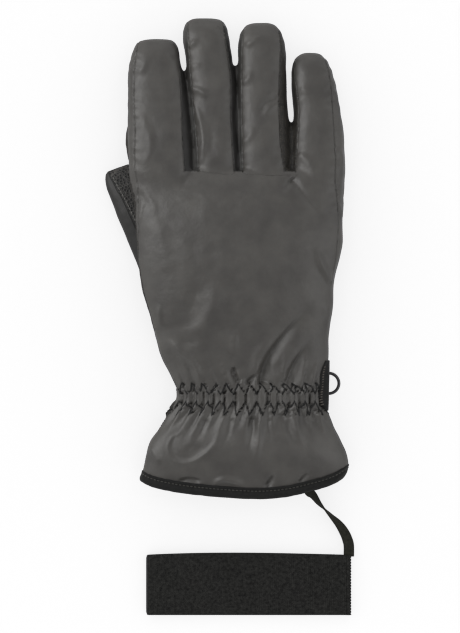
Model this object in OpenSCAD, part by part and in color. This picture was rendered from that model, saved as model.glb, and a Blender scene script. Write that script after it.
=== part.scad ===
// Right-hand ski glove lying palm down, with a wrist leash.
// Row frame: +Y to the fingertips, +X to the little finger, +Z out of the back of the hand.
// The origin lies on the resting face under the palm.

/* [Glove wall] */
// Outer fabric
skin = 0.9; // [0.7:0.1:1.2]
// Insulation between the fabric and the lining
wadding = 2.6; // [2:0.1:3]
// Fleece lining
lining = 0.8; // [0.6:0.1:1]
// Play left between two layers
play = 0.1; // [0.05:0.05:0.15]

/* [Fingers] */
// Width and height of the index finger
index_size = [31.6, 23]; // [20:0.1:34]
// Width and height of the middle finger
middle_size = [27.4, 24]; // [20:0.1:30]
// Width and height of the ring finger
ring_size = [28, 24]; // [20:0.1:30]
// Width and height of the little finger
little_size = [27.4, 23]; // [20:0.1:30]
// How far a finger bends towards the palm
finger_bend = 60; // [30:5:60]
// How far a finger bends back
finger_back = 15; // [0:1:15]
// Width and height of the thumb, pressed flat under the hand
thumb_size = [30, 14]; // [24:0.5:30]
// Length of the thumb's space from its pivot to its tip
thumb_length = 81; // [81:1:84]
// How far the thumb swings out
thumb_swing = 40; // [0:5:40]

/* [Wrist and cuff] */
// How far the cuff bends up or down at the wrist
wrist_bend = 30; // [10:5:30]
// Width of the tape round the cuff's edge
binding_w = 6; // [4:0.5:8]
// Radius of the hem's curve, seen from above
hem_r = 174; // [150:1:250]
/* [Ring and leash] */
// Outer radius of the hang ring
ring_outer = 6.4; // [5:0.1:8]
// Radius of the ring's wire
ring_wire = 0.7; // [0.5:0.05:1]
// Width of the leash ribbon
ribbon_w = 6; // [5:0.5:8]
// Thickness of the leash ribbon
ribbon_t = 1.2; // [0.8:0.1:1.5]
// Length of the leash band, laid flat
band_l = 119; // [100:1:125]
// Width of the leash band
band_w = 34; // [25:1:40]

/* [Hidden] */

$fn = 48;
eps = 0.02;
far = 200;
wall = skin + play + wadding + play + lining;
in_wadding = skin + play;
in_lining = skin + play + wadding + play;

charcoal = [0.32, 0.32, 0.31];
black = [0.09, 0.09, 0.09];
grip_black = [0.13, 0.13, 0.13];
fleece = [0.16, 0.16, 0.17];
white_wadding = [0.88, 0.88, 0.85];
gunmetal = [0.3, 0.3, 0.32];

// The hand's sections: [y, left x, right x, bottom z, top z]
hand_sections = [[49.5, -57, 68, 1.2, 30], [34, -56, 68, 1.2, 34.5], [0, -52, 68, 1.2, 35], [-42, -44, 62, 1.2, 34],
              [-72, -31, 56.5, 1.4, 31], [-98, -29, 56, 1.4, 31]];
cuff_sections = [[-62, -31, 56.5, 1.4, 31], [-92, -31, 58, 1.4, 31], [-118, -47.5, 69.5, 1, 33],
              [-128, -50.5, 70.5, 1, 33], [-146, -50.5, 70.5, 1, 32]];
slab_edge_r = 13;
edge_steps = 6;

// The fingers' knuckles: [pivot, lean towards the thumb, droop, size, length from the pivot]
index = [[-39.5, 62, 19.5], 1.9, 5, index_size, 65];
middle = [[-8.5, 62, 14.2], 2.6, 1, middle_size, 78];
ring = [[21.5, 62, 14.2], 1.9, 1, ring_size, 75];
little = [[52.6, 57, 13.7], 3.9, 1, little_size, 63];
fingers = [index, middle, ring, little];
stub_back = 30;
nose_play = 0.3;
nose_step = 0.6;
side_share = 0.45;

thumb_pivot = [-29.5, -22, 7.3];
thumb_lean = 18.9;
// Where the thumb starts to flatten, and the round corners of its flat tip, which stays under the index finger
thumb_taper_y = 58;
thumb_tip = [[-10, 76, -2], [-3, 76, -2], [8, 65, -2]];
thumb_tip_r = 5;

wrist_pivot = [14, -79, 16.2];
wrist_nose_r = 13.6;

hem_centre = [9.5, 34.5];

// ---------- Shapes shared by the layers ----------

// The outline of a section of the hand or cuff at y, t inside its outer surface, with round edges
function outline(section, t, y) =
    [for (corner = [0 : 3], step = [0 : edge_steps])
        let (a = 90 * (corner + step / edge_steps),
             x = corner % 3 == 0 ? section[2] - slab_edge_r : section[1] + slab_edge_r,
             z = corner < 2 ? section[4] - slab_edge_r : section[3] + slab_edge_r)
        [x + (slab_edge_r - t) * cos(a), y, z + (slab_edge_r - t) * sin(a)]];

// The solid through a list of sections, its first end t further in
module loft(sections, t) {
    n = 4 * (edge_steps + 1);
    last = len(sections) - 1;
    points = [for (i = [0 : last]) each outline(sections[i], t, sections[i][0] - (i == 0 ? t : 0))];
    sides = [for (i = [0 : last - 1], k = [0 : n - 1])
        [i * n + k, (i + 1) * n + k, (i + 1) * n + (k + 1) % n, i * n + (k + 1) % n]];
    ends = [[for (k = [0 : n - 1]) k], [for (k = [n - 1 : -1 : 0]) last * n + k]];
    polyhedron(points, concat(sides, ends), convexity = 4);
}

// A flat tube along +Y from y0 to y1, as wide and high as size, t inside its outer surface
module flat_tube(size, t, y0, y1) {
    r = size[1] / 2 - t;
    half = (size[0] - size[1]) / 2;
    translate([0, y1, 0]) rotate([90, 0, 0]) linear_extrude(y1 - y0) {
        square([2 * half, 2 * r], center = true);
        for (x = [-half, half]) translate([x, 0]) circle(r);
    }
}

// The same tube with a round tip that ends at y = length - t
module digit(size, t, y0, length) {
    r = size[1] / 2 - t;
    half = (size[0] - size[1]) / 2;
    tip = length - size[1] / 2;
    flat_tube(size, t, y0, tip);
    translate([0, tip, 0]) {
        for (x = [-half, half]) translate([x, 0, 0]) sphere(r);
        rotate([0, 90, 0]) cylinder(r = r, h = 2 * half, center = true);
    }
}

module at_finger(f) {
    translate(f[0]) rotate([0, 0, f[1]]) rotate([-f[2], 0, 0]) children();
}

// A roll along X whose facets meet the planes through its axis halfway, and not at a corner
module roll(r, w) {
    rotate([0, 90, 0]) rotate([0, 0, 180 / $fn]) cylinder(r = r, h = w, center = true);
}

// What a finger sweeps behind its knuckle, which the hand leaves free
module finger_socket(f) {
    w = f[3][0] + 2 * nose_play;
    at_finger(f) {
        roll(f[3][1] / 2 - nose_step + nose_play, w + 0.1);
        for (a = [-finger_bend, finger_back])
            rotate([a, 0, 0]) translate([-w / 2, 0, -40]) cube([w, 60, 80]);
    }
}

// The part of a finger's space in front of its knuckle, with the round nose at its root
module finger_keep(f) {
    w = f[3][0] + 2;
    translate([-w / 2, 0, -far / 2]) cube([w, far, far]);
    roll(f[3][1] / 2 - nose_step, w);
}

// The thumb, t inside its outer surface, from y0 to its tip
module thumb_form(t, y0) {
    half = (thumb_size[0] - thumb_size[1]) / 2;
    flat_tube(thumb_size, t, y0, thumb_taper_y);
    hull() {
        flat_tube(thumb_size, t, thumb_taper_y - 2, thumb_taper_y);
        for (p = thumb_tip) translate(p) sphere(thumb_tip_r - t, $fn = 24);
    }
}

module at_thumb() {
    translate(thumb_pivot) rotate([0, 0, thumb_lean]) children();
}

// The space under the hand that the thumb lies in and swings out through
module thumb_notch(t) {
    r = thumb_size[0] / 2 + nose_play + t;
    h = thumb_size[1] / 2 + thumb_pivot[2] + nose_play + t;
    translate([thumb_pivot[0], thumb_pivot[1], -1]) linear_extrude(h + 1) {
        circle(r + nose_play);
        hull() for (a = [thumb_lean, thumb_lean + thumb_swing])
            rotate(a) translate([-r, 0]) square([2 * r, thumb_length + 2 + t]);
    }
}

module hand_volume(t) {
    difference() {
        union() {
            loft(hand_sections, t);
            for (f = fingers) at_finger(f) flat_tube(f[3], t, -stub_back, 12);
        }
        thumb_notch(t);
    }
}

module hand_layer(t0, t1) {
    difference() {
        intersection() {
            difference() {
                hand_volume(t0);
                hand_volume(t1);
            }
            wrist_keep();
        }
        for (f = fingers) finger_socket(f);
        thumb_passage();
        webbing_strip(play);
    }
}

// The elastics' places along the wrist, and where the wadding stops beside them
upper_elastic_y = [-78.6, -72.6];
lower_elastic_y = [-100, -94];
unpadded_y = [-101, -71.6];

// The hand's side of the wrist, which ends in a round nose
module wrist_keep() {
    translate([-far / 2, wrist_pivot[1], -far / 2]) cube([far, far, far]);
    translate(wrist_pivot) roll(wrist_nose_r, far);
}

// The way from the palm into the thumb
module thumb_passage() {
    at_thumb() translate([-9, -27, -1.6]) cube([18, 20, 5]);
}

module cuff_volume(t) {
    loft(cuff_sections, t);
}

// The cuff's side of the wrist
module cuff_keep() {
    difference() {
        translate([-far / 2, -far, -far / 2]) cube([far, far, far]);
        translate(wrist_pivot) {
            roll(wrist_nose_r + nose_play, far);
            for (a = [-wrist_bend, wrist_bend])
                rotate([a, 0, 0]) translate([-far / 2, 0, -far / 2]) cube([far, far, far]);
        }
    }
}

// Everything on the hand's side of the hem's curve, drawn in by the amount given
module inside_hem(drawn_in) {
    translate([hem_centre[0], hem_centre[1], -1])
        cylinder(r = hem_r - drawn_in, h = 60, $fn = 180);
}

module cuff_layer(t0, t1, drawn_in) {
    intersection() {
        difference() {
            cuff_volume(t0);
            cuff_volume(t1);
        }
        cuff_keep();
        inside_hem(drawn_in);
    }
}

module above(z) {
    translate([-far, -far, z]) cube([2 * far, 2 * far, far]);
}

module below(z) {
    translate([-far, -far, z - far]) cube([2 * far, 2 * far, far]);
}

seam_z = 17.5;

// ---------- Hand ----------

module hand_back_shell() {
    color(charcoal) intersection() {
        hand_layer(0, skin);
        above(seam_z);
    }
}

module hand_palm_panel() {
    color(grip_black) intersection() {
        hand_layer(0, skin);
        below(seam_z);
    }
}

module palm_grip_patch() {
    size = [60, 74];
    r = 16;
    color(black) translate([22, -6, 0]) linear_extrude(hand_sections[1][3]) {
        square([size[0], size[1] - 2 * r], center = true);
        square([size[0] - 2 * r, size[1]], center = true);
        for (x = [-1, 1], y = [-1, 1])
            translate([x * (size[0] / 2 - r), y * (size[1] / 2 - r)]) circle(r);
    }
}

module hand_wadding() {
    color(white_wadding) intersection() {
        hand_layer(in_wadding, in_wadding + wadding);
        translate([-far, unpadded_y[1], -far]) cube(2 * far);
    }
}

module hand_lining() {
    color(fleece) hand_layer(in_lining, wall);
}

// ---------- Fingers ----------

module finger_layer(f, t0, t1) {
    difference() {
        intersection() {
            digit(f[3], t0, -f[3][1], f[4]);
            finger_keep(f);
        }
        digit(f[3], t1, -f[3][1] - 1, f[4]);
    }
}

// The side strips' height, and where they end under the round tip
function side_z(f) = side_share * f[3][1] / 2;
function side_end(f) = f[4] - f[3][1] / 2;

module finger_back_panel(f, tint) {
    at_finger(f) color(tint) intersection() {
        finger_layer(f, 0, skin);
        union() {
            above(side_z(f));
            translate([-far / 2, side_end(f), 0]) cube([far, far, far]);
        }
    }
}

module finger_palm_panel(f) {
    at_finger(f) color(grip_black) intersection() {
        finger_layer(f, 0, skin);
        union() {
            below(-side_z(f));
            translate([-far / 2, side_end(f), -far]) cube([far, far, far]);
        }
    }
}

module finger_side(f, side) {
    at_finger(f) color(black) intersection() {
        finger_layer(f, 0, skin);
        translate([side > 0 ? 0 : -far, -far + side_end(f), -side_z(f)])
            cube([far, far, 2 * side_z(f)]);
    }
}

module finger_wadding(f) {
    at_finger(f) color(white_wadding) finger_layer(f, in_wadding, in_wadding + wadding);
}

module finger_lining(f) {
    at_finger(f) color(fleece) finger_layer(f, in_lining, wall);
}

// ---------- Thumb ----------

thumb_wadding = wadding - 0.9;
thumb_in_lining = in_wadding + thumb_wadding + play;

module thumb_layer(t0, t1) {
    difference() {
        intersection() {
            thumb_form(t0, -thumb_size[0]);
            union() {
                translate([-far / 2, 0, -far / 2]) cube([far, far, far]);
                cylinder(r = thumb_size[0] / 2 - nose_step, h = far, center = true);
            }
        }
        thumb_form(t1, -thumb_size[0] - 1);
    }
}

module thumb_grip_zone() {
    translate([-thumb_size[0] / 2 + 7, -far, 0]) cube([far, 2 * far, far]);
}

module thumb_back_panel() {
    at_thumb() color(black) difference() {
        thumb_layer(0, skin);
        thumb_grip_zone();
    }
}

module thumb_grip_panel() {
    at_thumb() color(grip_black) intersection() {
        thumb_layer(0, skin);
        thumb_grip_zone();
    }
}

module thumb_wadding_layer() {
    at_thumb() color(white_wadding) thumb_layer(in_wadding, in_wadding + thumb_wadding);
}

module thumb_lining_layer() {
    at_thumb() color(fleece) thumb_layer(thumb_in_lining, thumb_in_lining + lining);
}

// ---------- Cuff ----------

module cuff_back_shell() {
    color(charcoal) intersection() {
        cuff_layer(0, skin, binding_w);
        above(seam_z);
    }
}

module cuff_palm_shell() {
    color(black) intersection() {
        cuff_layer(0, skin, binding_w);
        below(seam_z);
    }
}

module cuff_wadding() {
    color(white_wadding) intersection() {
        cuff_layer(in_wadding, in_wadding + wadding, binding_w);
        translate([-far, unpadded_y[0] - far, -far]) cube([2 * far, far, 2 * far]);
    }
}

module cuff_lining() {
    color(fleece) cuff_layer(in_lining, wall, binding_w);
}

module cuff_binding() {
    color(black) difference() {
        cuff_layer(0, wall, 0);
        inside_hem(binding_w);
    }
}

elastic_t = 1.2;

module across_wrist(y) {
    translate([-far, y[0], -far]) cube([2 * far, y[1] - y[0], 2 * far]);
}

module wrist_elastic_upper() {
    color(black) intersection() {
        hand_layer(in_wadding, in_wadding + elastic_t);
        across_wrist(upper_elastic_y);
    }
}

module wrist_elastic_lower() {
    color(black) intersection() {
        cuff_layer(in_wadding, in_wadding + elastic_t, binding_w);
        across_wrist(lower_elastic_y);
    }
}

// ---------- Ring ----------

webbing_y = [-89.5, -60];
webbing_x = [56.7, 59.7];
webbing_z = 16.9;
webbing_t = 1.2;
ring_y = -73.7;
ring_axis = [54.3, ring_y, 2];

// The webbing's strip, grown by the amount given
module webbing_strip(grown) {
    translate([webbing_x[0] - grown, webbing_y[0] - grown, webbing_z - grown])
        cube([webbing_x[1] - webbing_x[0] + 2 * grown, webbing_y[1] - webbing_y[0] + 2 * grown,
              webbing_t + 2 * grown]);
}

module side_webbing() {
    color(black) webbing_strip(0);
}

// The loop's tape, hanging from the webbing past the hand's side: [x, z] down its inner face
tape_line = [[56.6, webbing_z], [56.6, 14.4], [56.4, 12], [55.5, 9], [54.7, 3.2]];
tape_t = 0.8;

module ring_loop() {
    loop_w = 4;
    bore_r = ring_wire + 0.4;
    color(black) translate([0, ring_y + loop_w / 2, 0]) rotate([90, 0, 0]) {
        linear_extrude(loop_w) difference() {
            union() {
                translate([ring_axis[0], ring_axis[2]]) circle(bore_r + tape_t);
                polygon(concat(tape_line,
                    [for (i = [len(tape_line) - 1 : -1 : 0]) tape_line[i] + [tape_t, 0]]));
            }
            translate([ring_axis[0], ring_axis[2]]) circle(bore_r);
        }
    }
}

module hang_ring() {
    r = ring_outer - ring_wire;
    color(gunmetal) translate([ring_axis[0] + r, ring_y, ring_axis[2]])
        rotate_extrude($fn = 64) translate([r, 0]) circle(ring_wire, $fn = 24);
}

// ---------- Leash ----------

// The ribbon's centre line from the hem to the band: [x, y, z, turn of its width about the line]
ribbon_route = [[47, -133, 9, 0], [48.5, -137.5, 7.6, 20], [51.5, -141, 5.4, 50], [55, -145, 3.9, 75],
                [58.5, -149, 3.3, 90], [62, -153, 3.2, 108], [65.5, -157, 2.8, 130],
                [68.5, -161.5, 2.3, 150], [70.5, -166, 1.8, 165], [71.2, -170.5, 1.5, 175],
                [71, -175, 1.4, 180]];

module leash_ribbon() {
    sides = 8;
    n = len(ribbon_route);
    function along(i) =
        let (a = ribbon_route[max(i - 1, 0)], b = ribbon_route[min(i + 1, n - 1)],
             d = [b[0] - a[0], b[1] - a[1], b[2] - a[2]])
        d / norm(d);
    function ring_points(i) =
        let (p = ribbon_route[i], d = along(i),
             flat = cross([0, 0, 1], d) / norm(cross([0, 0, 1], d)), up = cross(d, flat))
        [for (k = [0 : sides - 1])
            let (a = 360 * (k + 0.5) / sides, u = ribbon_w / 2 * cos(a) / cos(180 / sides),
                 v = ribbon_t / 2 * sin(a) / sin(180 / sides * 3))
            [p[0], p[1], p[2]] + flat * (u * cos(p[3]) - v * sin(p[3]))
                               + up * (u * sin(p[3]) + v * cos(p[3]))];
    points = [for (i = [0 : n - 1]) each ring_points(i)];
    faces = concat(
        [[for (k = [0 : sides - 1]) k]],
        [for (i = [0 : n - 2], k = [0 : sides - 1])
            let (a = i * sides + k, b = i * sides + (k + 1) % sides)
            each [[a, a + sides, b + sides], [a, b + sides, b]]],
        [[for (k = [sides - 1 : -1 : 0]) (n - 1) * sides + k]]);
    color(black) polyhedron(points, faces, convexity = 4);
}

module leash_anchor() {
    color(black) translate([44, -131, 6.2]) cube([6, 1.6, 3.6]);
}

band_left = -46.2;
band_top_y = -174.6;
band_layer = 1.4;
band_gap = 1;

module leash_band() {
    h = 2 * band_layer + band_gap;
    color(black) translate([band_left, band_top_y - band_w, 0]) difference() {
        translate([0, band_w, 0]) rotate([90, 0, 0]) linear_extrude(band_w) {
            translate([h / 2, h / 2]) circle(h / 2);
            translate([h / 2, 0]) square([band_l - h / 2 - 2, h]);
        }
        translate([h / 2, band_w + 1, h / 2]) rotate([90, 0, 0]) {
            cylinder(r = band_gap / 2, h = band_w + 2);
            translate([0, -band_gap / 2, 0]) cube([band_l - 8, band_gap, band_w + 2]);
        }
    }
}

module leash_band_seam() {
    h = 2 * band_layer + band_gap;
    color(black) translate([band_left + band_l - 2, band_top_y - band_w, 0]) cube([2, band_w, h]);
}

// ---------- The nodes ----------

hand_back_shell();
hand_palm_panel();
palm_grip_patch();
hand_wadding();
hand_lining();
finger_back_panel(index, charcoal);  // index_back_panel
finger_palm_panel(index);  // index_palm_panel
finger_side(index, -1);  // index_outer_side
finger_side(index, 1);  // index_inner_side
finger_wadding(index);  // index_wadding
finger_lining(index);  // index_lining
finger_back_panel(middle, charcoal);  // middle_back_panel
finger_palm_panel(middle);  // middle_palm_panel
finger_side(middle, -1);  // middle_outer_side
finger_side(middle, 1);  // middle_inner_side
finger_wadding(middle);  // middle_wadding
finger_lining(middle);  // middle_lining
finger_back_panel(ring, charcoal);  // ring_finger_back_panel
finger_palm_panel(ring);  // ring_finger_palm_panel
finger_side(ring, -1);  // ring_finger_outer_side
finger_side(ring, 1);  // ring_finger_inner_side
finger_wadding(ring);  // ring_finger_wadding
finger_lining(ring);  // ring_finger_lining
finger_back_panel(little, charcoal);  // little_back_panel
finger_palm_panel(little);  // little_palm_panel
finger_side(little, -1);  // little_outer_side
finger_side(little, 1);  // little_inner_side
finger_wadding(little);  // little_wadding
finger_lining(little);  // little_lining
thumb_back_panel();
thumb_grip_panel();
thumb_wadding_layer();  // thumb_wadding
thumb_lining_layer();  // thumb_lining
cuff_back_shell();
cuff_palm_shell();
cuff_wadding();
cuff_lining();
cuff_binding();
wrist_elastic_upper();
wrist_elastic_lower();
side_webbing();
ring_loop();
hang_ring();
leash_anchor();
leash_ribbon();
leash_band();
leash_band_seam();
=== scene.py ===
"""The looks of the ski glove: a padded right-hand glove lying palm down, with its wrist leash.

Lengths in the tables are millimetres, in the row frame: +Y to the fingertips, +X to the little finger, +Z up.
"""
import math

import bmesh
import bpy
import numpy as np
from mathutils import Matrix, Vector
from mathutils.bvhtree import BVHTree


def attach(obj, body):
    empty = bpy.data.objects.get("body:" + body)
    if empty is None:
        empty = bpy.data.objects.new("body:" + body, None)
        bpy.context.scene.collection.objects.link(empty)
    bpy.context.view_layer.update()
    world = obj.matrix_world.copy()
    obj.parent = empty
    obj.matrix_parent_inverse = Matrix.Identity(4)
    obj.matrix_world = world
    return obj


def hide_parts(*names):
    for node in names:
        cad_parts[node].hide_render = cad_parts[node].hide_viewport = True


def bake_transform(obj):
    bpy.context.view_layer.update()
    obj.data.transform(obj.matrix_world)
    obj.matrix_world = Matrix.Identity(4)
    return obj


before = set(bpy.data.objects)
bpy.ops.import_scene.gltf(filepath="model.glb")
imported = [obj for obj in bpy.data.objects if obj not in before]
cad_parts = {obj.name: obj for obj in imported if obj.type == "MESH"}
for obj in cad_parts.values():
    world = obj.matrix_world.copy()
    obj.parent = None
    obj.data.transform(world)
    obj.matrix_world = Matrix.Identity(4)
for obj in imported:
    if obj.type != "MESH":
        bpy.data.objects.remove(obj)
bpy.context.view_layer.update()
MM = 0.001

# ---------------------------------------------------------------- curves and tables


def through(table, y):
    """Every column of a table of (y, value, ...) rows at y, on one smooth curve, as a list of arrays."""
    rows = np.array(sorted(table), float)
    at = np.clip(np.asarray(y, float), rows[0, 0], rows[-1, 0])
    i = np.clip(np.searchsorted(rows[:, 0], at, side="right") - 1, 0, len(rows) - 2)
    slope = np.gradient(rows[:, 1:], rows[:, 0], axis=0)
    gap = rows[i + 1, 0] - rows[i, 0]
    t = (at - rows[i, 0]) / gap
    return list(rows[i, 1:].T * (2 * t**3 - 3 * t**2 + 1) + slope[i].T * gap * (t**3 - 2 * t**2 + t)
                + rows[i + 1, 1:].T * (3 * t**2 - 2 * t**3) + slope[i + 1].T * gap * (t**3 - t**2))


def step(x, low, high):
    """0 below low and 1 above high, with a smooth rise between."""
    t = np.clip((np.asarray(x, float) - low) / (high - low), 0, 1)
    return t * t * (3 - 2 * t)


# Each finger: its tip, how long its rounding is and how square, and rows of y, middle x, half width, middle z
# and half height. Its back panel lies between the left and right seams, rows of y, x.
FINGERS = {
    "index": dict(tip=127.6, round=16, box=4.6, rows=[
        (2, -38.6, 13, 15, 7.6), (30, -38.6, 16, 16.6, 10.6), (42, -38.7, 17.9, 17.9, 11.1),
        (54, -38.4, 18.8, 18.6, 11.4), (67, -39, 18.8, 18.2, 11.6), (84, -39.8, 17.9, 17.3, 11.6),
        (95, -40.6, 17.3, 16.8, 11.5), (107, -41.5, 15.9, 16.3, 11.3), (113.5, -41.8, 14.7, 16, 11.2),
        (119, -41.4, 13.8, 15.6, 11), (128, -41.4, 12.6, 15.2, 10.5)],
        left=[(4, -51.2), (10, -51.2), (30, -51.6), (40, -51.6), (56.5, -53.4), (73, -53.2), (92, -54),
              (116, -53), (128, -51)],
        right=[(48, -24.3), (53.5, -24.7), (67, -25.7), (88, -26.3), (107, -27.3), (128, -29.5)]),
    "middle": dict(tip=140.0, round=14, box=4.0, rows=[
        (8, -5, 8, 13, 6), (30, -5, 11.5, 14, 10.4), (42, -5.6, 13.5, 14.6, 12), (57, -6.3, 13.7, 14.6, 12.4),
        (71, -7.1, 13.5, 14.3, 12.2), (88, -8.1, 13.8, 14.1, 12), (104, -9.2, 14, 14, 12),
        (116, -10.5, 13.7, 13.8, 11.8), (127, -12.2, 13.2, 13.6, 11.5), (140, -12.6, 12.6, 13.4, 11)],
        left=[(46, -16.6), (56.6, -16.8), (96, -20.3), (132, -22.6), (141, -22.8)],
        right=[(46, 4.4), (53.5, 4), (67, 3), (88, 2.4), (103.6, 2.2), (126.7, -0.8), (141, -3)]),
    "ring_finger": dict(tip=137.2, round=14, box=3.6, rows=[
        (8, 22, 8, 13, 6), (30, 22, 12.5, 14, 10.4), (42, 22, 14.2, 14.6, 12), (63, 21.9, 14.9, 14.6, 12.4),
        (80, 21.3, 14.8, 14.3, 12.2), (92, 20.6, 14.3, 14.1, 12), (106, 20.6, 14.1, 14, 12),
        (123, 20.3, 13.5, 13.8, 11.6), (129, 20, 12.6, 13.6, 11.3), (137, 19.7, 11.2, 13.4, 11)],
        left=[(46, 9.6), (62, 9), (92, 8.6), (124, 8.9), (138, 10)],
        right=[(46, 33.6), (51.4, 33.2), (61.8, 31.4), (80, 30.2), (93, 30.1), (109, 30.7), (124.5, 31),
               (138, 29)]),
    "little": dict(tip=120.0, round=16, box=2.9, rows=[
        (4, 53, 9, 13, 6), (26, 53, 13, 14, 10), (38, 53.4, 14.8, 14.6, 11.9), (62, 53.4, 15.4, 14.4, 12),
        (73, 53.1, 15, 14.2, 11.8), (83, 52.8, 13.7, 14, 11.6), (92, 52, 13.3, 13.9, 11.5),
        (100, 51, 12.8, 13.7, 11.3), (109, 49.6, 11.8, 13.5, 11), (114, 48.9, 11.2, 13.3, 10.7),
        (120, 48.9, 10.4, 13.2, 10.5)],
        left=[(44, 39.4), (50.4, 39.8), (61.8, 40.6), (77.5, 41.6), (90, 41.4), (105, 39.6), (121, 39.4)],
        right=[(-16, 60.4), (-0.3, 63.2), (15.5, 64.6), (34, 64), (46, 62.6), (56.6, 63), (72, 62),
               (93, 60.9), (106.8, 59.4), (116, 57.3), (121, 56.4)]),
}
# The hand and the cuff: y, left x, right x, bottom z, top z
HAND = [
    (50, -56.6, 68.4, 3, 26.6), (44, -55.8, 68.1, 2, 29.4), (36, -55.1, 68, 1.4, 31.9),
    (22, -53.9, 67.8, 0.9, 34),
    (7, -52.2, 66.9, 0.7, 34.8), (-4, -51.4, 64.9, 0.7, 34.8), (-14, -50.2, 62.6, 0.7, 34.4),
    (-27, -46.8, 61.8, 0.8, 33.4), (-37, -44.1, 60.6, 0.9, 32.2), (-47, -41.4, 59.6, 1.1, 31),
    (-61, -37, 58.8, 1.6, 29.2), (-71, -31.6, 57, 2.4, 27.4), (-77.5, -27.6, 56, 2.8, 26),
    (-85, -27.8, 56.4, 2.8, 25.8), (-92, -32.8, 58.9, 2.2, 27), (-99, -38.9, 61.8, 1.6, 28.8),
    (-106.5, -44.4, 66.4, 1.1, 30), (-116, -47.2, 70.2, 0.9, 30.2), (-123, -48.6, 70.6, 0.9, 29.4),
    (-130, -50.7, 67.6, 1, 28), (-144, -51.4, 64.6, 1.4, 26.5),
]
FINGER_ROUND, TIP_ROUND, HAND_ROUND = 2.7, 2.3, 2.5
ROOT_Y = 49.5
# The hand's back panel runs on over the outer fingers, so their outer seams start below the fingers' roots
OUTER_SEAM_START = {("index", "left"): 4, ("little", "right"): -16}
# The thumb lies to the left of its root, under the palm, which is raised above it and above where it swings
THUMB_ROOT = (-29.5, -22.0)
THUMB_LEAN = math.radians(18.9)
THUMB_ROOM = 15.6
THUMB_CEILING = 14.6
# The hem's edge seen from above: x, y; the shell stops short of it, under the binding
HEM = [(-62, -123.5), (-50, -130.7), (-45, -132.9), (-33.4, -135.6), (-14, -138.1), (5.4, -139.6),
       (19.9, -140.1), (34.5, -138.9), (49, -135.7), (61.7, -132), (70, -127.8), (80, -122)]
SHELL_SHORT = 5.4


def finger_at(name, y):
    """Middle x, half width, middle z and half height of a finger at y, rounded off towards its tip."""
    f = FINGERS[name]
    x, w, z, h = through(f["rows"], y)
    u = np.clip((np.asarray(y, float) - (f["tip"] - f["round"])) / f["round"], 0, 1)
    return x, w * (1 - u ** f["box"]) ** (1 / f["box"]), z, h * (1 - u**TIP_ROUND) ** (1 / TIP_ROUND)


def hand_at(y):
    """Middle x, half width, bottom z and top z of the hand and the cuff at y."""
    left, right, bottom, top = through(HAND, y)
    return (left + right) / 2, (right - left) / 2, bottom, top


def hand_section(y):
    """Middle x, half width, middle z and half height of the hand and the cuff at y."""
    x, w, bottom, top = hand_at(y)
    return x, w, (bottom + top) / 2, (top - bottom) / 2


def thumb_local(x, y):
    """How far a place is to the right of the thumb's axis, and how far ahead along it."""
    dx, dy = x - THUMB_ROOT[0], y - THUMB_ROOT[1]
    c, s = math.cos(THUMB_LEAN), math.sin(THUMB_LEAN)
    return dx * c + dy * s, -dx * s + dy * c


def raised(bottom, x, y):
    """The palm's height: its bottom, or more over the thumb and the space that the thumb swings through."""
    right, ahead = thumb_local(x, y)
    beside = np.where(ahead > 0, right, np.hypot(right, ahead))
    beside = np.where((ahead <= 0) & (right < 0) & (ahead > -THUMB_ROOM), -ahead, beside)
    lift = 1 - step(beside, THUMB_ROOM - 0.5, THUMB_ROOM + 6.5)
    return bottom + lift * (THUMB_CEILING - bottom)


def ring_points(x, w, z, h, count, power):
    """The x and z of points round a box with round corners, more square the higher the power."""
    a = np.linspace(0, 2 * math.pi, count, endpoint=False)
    c, s = np.cos(a), np.sin(a)
    return x + w * np.sign(c) * np.abs(c) ** (2 / power), z + h * np.sign(s) * np.abs(s) ** (2 / power)


def as_points(x, y, z):
    """Rows of x, y and z; one y may stand for all of them."""
    return np.stack([x, np.full_like(x, y), z], 1)


# ---------------------------------------------------------------- meshes

VOXEL = 1.15
# A sewn seam's half width and usual depth
GROOVE, SEAM_DEPTH = 0.75, 0.55


def add_object(name, data):
    obj = bpy.data.objects.new(name, data)
    bpy.context.collection.objects.link(obj)
    return obj


def shade_smooth(mesh):
    mesh.polygons.foreach_set("use_smooth", [True] * len(mesh.polygons))


def new_object(name, verts_mm, faces):
    mesh = bpy.data.meshes.new(name)
    mesh.from_pydata((np.asarray(verts_mm, float) * MM).tolist(), [], [tuple(map(int, f)) for f in faces])
    bm = bmesh.new()
    bm.from_mesh(mesh)
    bmesh.ops.recalc_face_normals(bm, faces=bm.faces)
    bm.to_mesh(mesh)
    bm.free()
    shade_smooth(mesh)
    return add_object(name, mesh)


def ring_faces(rows, count, first=0, loop=False, ends=True):
    """The faces of a tube of rings; a loop joins the last ring to the first, or else its ends are closed."""
    faces = []
    for r in range(rows if loop else rows - 1):
        near, far = first + r * count, first + (r + 1) % rows * count
        for k in range(count):
            m = (k + 1) % count
            faces.append((near + k, near + m, far + m, far + k))
    if ends and not loop:
        faces.append(tuple(first + k for k in range(count))[::-1])
        faces.append(tuple(first + (rows - 1) * count + k for k in range(count)))
    return faces


def tube(name, rings, loop=False, ends=True):
    """A mesh through rings of points in millimetres, all with the same count."""
    return new_object(name, np.concatenate(rings), ring_faces(len(rings), len(rings[0]), 0, loop, ends))


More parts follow.
